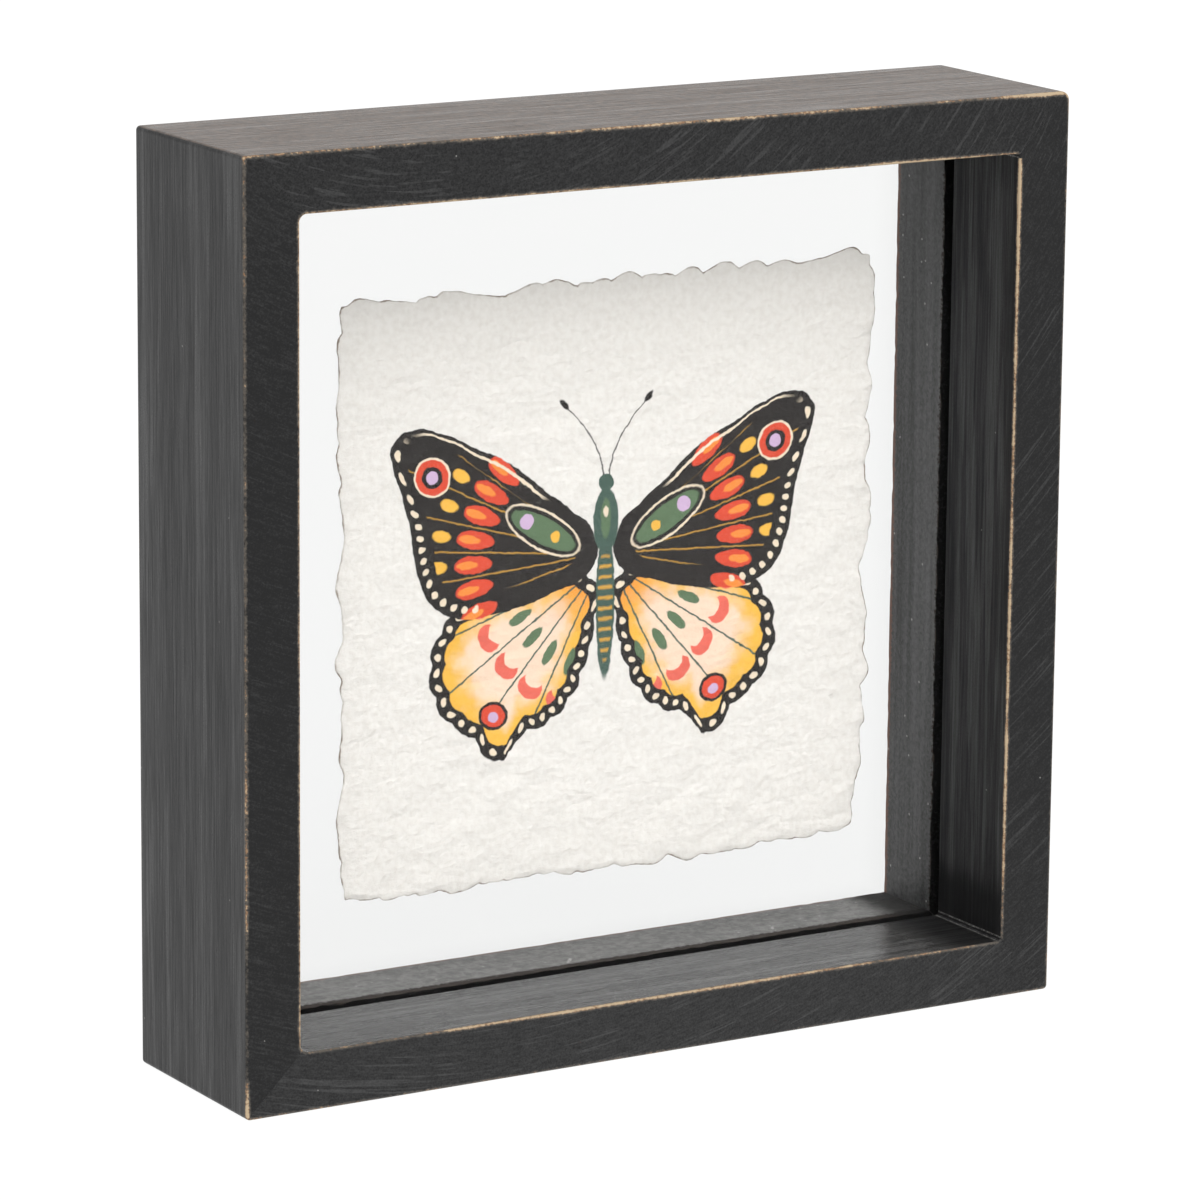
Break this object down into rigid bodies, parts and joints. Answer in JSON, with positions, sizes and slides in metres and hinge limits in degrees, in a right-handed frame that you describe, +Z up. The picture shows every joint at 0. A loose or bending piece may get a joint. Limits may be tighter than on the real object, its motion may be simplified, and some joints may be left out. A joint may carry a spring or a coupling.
{
  "type": "framed butterfly print on handmade paper in a see-through wooden frame",
  "caption": "Deep square black wooden frame, open front and back, holding a deckle-edged paper print of a butterfly that floats between panes of clear glass.",
  "frame": {"origin": "middle of the frame's underside, halfway between front and back", "axes": "+Z up, +X to the right seen from the front, +Y from the picture's front towards the wall, so the front faces -Y"},
  "size_m": [0.2, 0.0474, 0.2],
  "materials": {
    "painted_wood": "charcoal black satin paint on solid wood, sanded along the grain and rubbed through to bare wood on the edges",
    "dusty_strip_wood": "matt black paint on wood strips, dusty, with ragged brown edges",
    "clear_glass": "clear picture glass, slightly dusty",
    "printed_rag_paper": "warm white handmade cotton paper with a torn edge, printed with a butterfly in matt inks"
  },
  "bodies": {
    "root": {"frame_bottom": "painted_wood", "frame_left": "painted_wood", "frame_top": "painted_wood", "frame_right": "painted_wood", "retaining_strip_bottom": "dusty_strip_wood", "retaining_strip_left": "dusty_strip_wood", "retaining_strip_top": "dusty_strip_wood", "retaining_strip_right": "dusty_strip_wood", "glass_front": "clear_glass", "glass_back": "clear_glass", "paper_sheet": "printed_rag_paper"}
  },
  "joints": []
}
